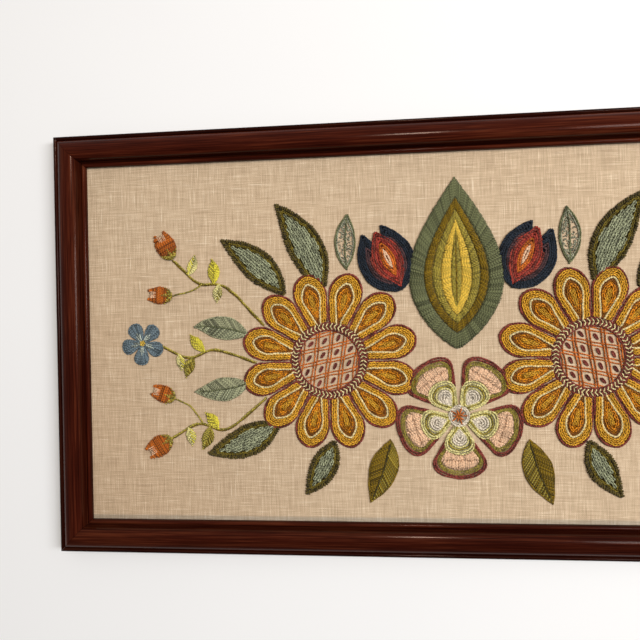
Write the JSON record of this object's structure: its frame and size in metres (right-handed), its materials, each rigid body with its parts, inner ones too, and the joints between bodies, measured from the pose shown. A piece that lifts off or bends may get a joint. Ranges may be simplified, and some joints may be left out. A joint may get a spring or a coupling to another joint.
{
  "type": "framed crewel embroidery panel",
  "caption": "Wide linen panel with raised crewel wool flowers and leaves, stretched in a narrow dark mahogany moulding; lies on its flat back or hangs.",
  "frame": {"origin": "centre of the frame's flat back, on the surface that it lies on", "axes": "+X to the right along the picture's width, +Y to the picture's top, +Z out of the picture's face"},
  "size_m": [0.758, 0.398, 0.0196],
  "materials": {
    "linen": "natural plain-woven linen with slubs, matt",
    "mahogany": "dark mahogany stain under a glossy lacquer",
    "wool_brick": "two-ply crewel wool in brick shades, matt",
    "wool_burgundy": "two-ply crewel wool in burgundy shades, matt",
    "wool_dark_olive": "two-ply crewel wool in dark olive shades, matt",
    "wool_gold": "two-ply crewel wool in gold shades, matt",
    "wool_grey": "two-ply crewel wool in grey shades, matt",
    "wool_moss": "two-ply crewel wool in moss shades, matt",
    "wool_navy": "two-ply crewel wool in navy shades, matt",
    "wool_olive": "two-ply crewel wool in olive shades, matt",
    "wool_pale": "two-ply crewel wool in pale shades, matt",
    "wool_peach": "two-ply crewel wool in peach shades, matt",
    "wool_rust": "two-ply crewel wool in rust shades, matt",
    "wool_sage": "two-ply crewel wool in sage shades, matt",
    "wool_sky": "two-ply crewel wool in sky shades, matt",
    "wool_yellow": "two-ply crewel wool in yellow shades, matt"
  },
  "bodies": {
    "root": {"bottom_rail": "mahogany", "bud_band": "wool_olive", "bud_heart": "wool_yellow", "bud_sheath": "wool_sage", "left_bloom_collar": "wool_burgundy", "left_bloom_petals": "wool_gold", "left_blossom": "wool_sky", "left_crown_leaf": "wool_dark_olive", "left_foot_leaf": "wool_olive", "left_grey_leaf": "wool_grey", "left_high_lower_cup": "wool_rust", "left_hip_leaf": "wool_dark_olive", "left_low_upper_cup": "wool_rust", "left_lower_cup": "wool_rust", "left_lower_sage_leaf": "wool_sage", "left_lower_spray": "wool_moss", "left_middle_spray": "wool_moss", "left_root_leaf": "wool_dark_olive", "left_shoulder_leaf": "wool_dark_olive", "left_stile": "mahogany", "left_tulip_heart": "wool_brick", "left_tulip_inner_petal": "wool_navy", "left_tulip_outer_petal": "wool_navy", "left_upper_cup": "wool_rust", "left_upper_sage_leaf": "wool_sage", "left_upper_spray": "wool_moss", "linen_ground": "linen", "right_bloom_collar": "wool_burgundy", "right_bloom_petals": "wool_gold", "right_blossom": "wool_sky", "right_crown_leaf": "wool_dark_olive", "right_foot_leaf": "wool_olive", "right_grey_leaf": "wool_grey", "right_high_lower_cup": "wool_rust", "right_hip_leaf": "wool_dark_olive", "right_low_upper_cup": "wool_rust", "right_lower_cup": "wool_rust", "right_lower_sage_leaf": "wool_sage", "right_lower_spray": "wool_moss", "right_middle_spray": "wool_moss", "right_root_leaf": "wool_dark_olive", "right_shoulder_leaf": "wool_dark_olive", "right_stile": "mahogany", "right_tulip_heart": "wool_brick", "right_tulip_inner_petal": "wool_navy", "right_tulip_outer_petal": "wool_navy", "right_upper_cup": "wool_rust", "right_upper_sage_leaf": "wool_sage", "right_upper_spray": "wool_moss", "rose_eye": "wool_rust", "rose_heart": "wool_pale", "rose_petals": "wool_peach", "top_rail": "mahogany"}
  },
  "joints": []
}
